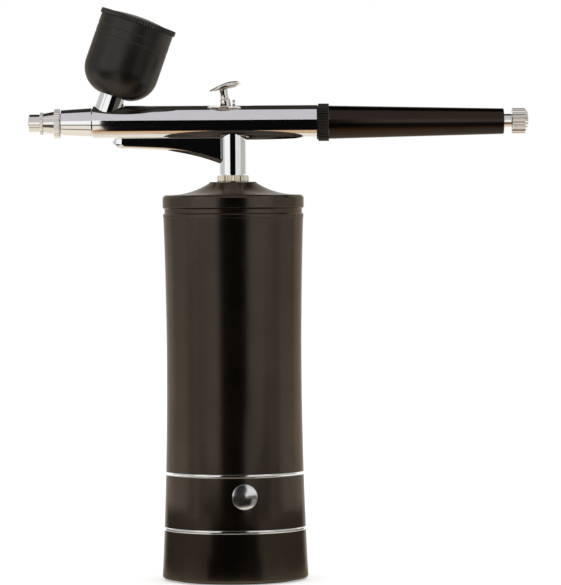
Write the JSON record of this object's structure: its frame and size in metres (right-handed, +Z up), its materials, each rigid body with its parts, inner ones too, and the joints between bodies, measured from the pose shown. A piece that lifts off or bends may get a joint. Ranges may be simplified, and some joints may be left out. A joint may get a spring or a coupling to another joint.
{
  "type": "airbrush compressor",
  "caption": "Cordless hand-held compressor: flared black cylinder with bright rings, carrying a chrome double-action airbrush with a tilted gravity cup.",
  "frame": {"origin": "centre of the foot's underside, on the casing's axis", "axes": "+Z up the casing's axis, +X towards the airbrush's handle, -Y towards the power button's side"},
  "size_m": [0.1664, 0.0486, 0.1913],
  "materials": {
    "black_casing": "satin black anodised",
    "bright_trim": "polished",
    "button_metal": "satin chrome",
    "foot_rubber": "matte",
    "screw_steel": "zinc plated",
    "chassis_plastic": "moulded",
    "cell_wrap": "shrink film",
    "motor_steel": "zinc plated",
    "magnet_ferrite": "sintered",
    "armature_copper": "wound",
    "pump_plastic": "moulded",
    "pump_rubber": "moulded",
    "hose_silicone": "translucent",
    "fitting_brass": "turned",
    "lock_nickel": "nickel plated",
    "board_green": "solder mask",
    "switch_body": "moulded",
    "socket_steel": "stamped",
    "seal_rubber": "moulded",
    "packing_ptfe": "turned",
    "brush_chrome": "polished",
    "valve_brass": "turned",
    "needle_steel": "ground",
    "chuck_brass": "turned",
    "cup_black": "satin black anodised",
    "lid_black": "satin black anodised, bright top",
    "handle_black": "satin black anodised",
    "collar_black": "knurled, black anodised"
  },
  "bodies": {
    "casing": {"foot_pad": "foot_rubber", "base_cup": "black_casing", "lower_trim_ring": "bright_trim", "button_band": "black_casing", "upper_trim_ring": "bright_trim", "main_sleeve": "black_casing", "top_cap": "black_casing", "tie_screws": "screw_steel", "spacer_tubes": "screw_steel", "battery_plate": "chassis_plastic", "motor_plate": "chassis_plastic", "battery_cell": "cell_wrap", "motor_can": "motor_steel", "motor_end_bell": "chassis_plastic", "motor_magnets": "magnet_ferrite", "pump_body": "pump_plastic", "pump_diaphragm": "pump_rubber", "pump_valve_plate": "pump_plastic", "pump_cover": "pump_plastic", "pump_screws": "screw_steel", "outlet_hose": "hose_silicone", "outlet_fitting": "fitting_brass", "control_board": "board_green", "power_switch": "switch_body", "charge_board": "board_green", "charge_socket": "socket_steel"},
    "rotor": {"motor_shaft": "motor_steel", "motor_rotor": "armature_copper", "eccentric_cam": "pump_plastic", "wobble_pin": "motor_steel"},
    "wobbler": {"wobble_plate": "pump_plastic"},
    "button": {"power_button": "button_metal"},
    "lock": {"lock_ring": "lock_nickel"},
    "airbrush": {"airbrush_body": "brush_chrome", "spray_head": "brush_chrome", "fluid_nozzle": "valve_brass", "nozzle_cap": "brush_chrome", "needle_cap": "brush_chrome", "cup_stem": "brush_chrome", "paint_cup": "cup_black", "valve_casing": "brush_chrome", "outlet_seal": "seal_rubber", "valve_screw": "valve_brass", "valve_spring": "needle_steel", "needle_packing": "packing_ptfe", "spring_case": "chuck_brass", "needle_spring": "needle_steel", "handle_collar": "collar_black", "handle": "handle_black", "finger_brace": "brush_chrome"},
    "plunger": {"valve_plunger": "valve_brass", "plunger_seal": "seal_rubber"},
    "trigger": {"trigger": "brush_chrome"},
    "needle": {"needle": "needle_steel", "chuck_guide": "chuck_brass", "chuck_nut": "chuck_brass", "back_lever": "brush_chrome"},
    "stop_carrier": {"stop_seal": "seal_rubber"},
    "stop": {"stop_knob": "brush_chrome"},
    "lid": {"cup_lid": "lid_black"}
  },
  "joints": [
    {"name": "airbrush_turn", "type": "hinge", "parent": "casing", "child": "airbrush", "pos_m": [0, 0, 0.1352], "axis": [0, 0, 1], "range_deg": [-180, 180]},
    {"name": "lock_ring_turn", "type": "hinge", "parent": "casing", "child": "lock", "pos_m": [0, 0, 0.1338], "axis": [0, 0, 1], "range_deg": [-360, 360]},
    {"name": "power_button_press", "type": "slide", "parent": "casing", "child": "button", "axis": [-0.1478, 0.989, 0], "range_m": [0, 0.0006], "stiffness_N_per_m": 1500, "springref_m": -0.0003},
    {"name": "motor_spin", "type": "hinge", "parent": "casing", "child": "rotor", "pos_m": [0, 0, 0.0771], "axis": [0, 0, 1], "continuous": true},
    {"name": "wobble_spin", "type": "hinge", "parent": "rotor", "child": "wobbler", "pos_m": [0, 0, 0.1016], "axis": [0.1219, 0, 0.9925], "continuous": true},
    {"name": "trigger_press", "type": "slide", "parent": "airbrush", "child": "plunger", "axis": [0, 0, -1], "range_m": [0, 0.002], "stiffness_N_per_m": 900, "springref_m": -0.001, "deforming": ["valve_spring"]},
    {"name": "trigger_pull", "type": "hinge", "parent": "plunger", "child": "trigger", "pos_m": [0, 0, 0.1449], "axis": [0, 1, 0], "range_deg": [0, 20]},
    {"name": "needle_slide", "type": "slide", "parent": "airbrush", "child": "needle", "axis": [1, 0, 0], "range_m": [0, 0.0052], "stiffness_N_per_m": 220, "springref_m": -0.00225, "deforming": ["needle_spring"]},
    {"name": "stop_travel", "type": "slide", "parent": "airbrush", "child": "stop_carrier", "axis": [1, 0, 0], "range_m": [-0.00225, 0.001]},
    {"name": "stop_turn", "type": "hinge", "parent": "stop_carrier", "child": "stop", "pos_m": [0.0957, 0, 0.1524], "axis": [1, 0, 0], "range_deg": [-1625, 725]},
    {"name": "cup_lid_lift", "type": "slide", "parent": "airbrush", "child": "lid", "axis": [0.3338, 0, 0.9426], "range_m": [0, 0.014]}
  ],
  "couplings": [
    {"joint": "wobble_spin", "follows": "motor_spin", "ratio": -1},
    {"joint": "trigger_pull", "follows": "needle_slide", "rad_per_m": 66.667},
    {"joint": "stop_turn", "follows": "stop_travel", "rad_per_m": 12566}
  ]
}
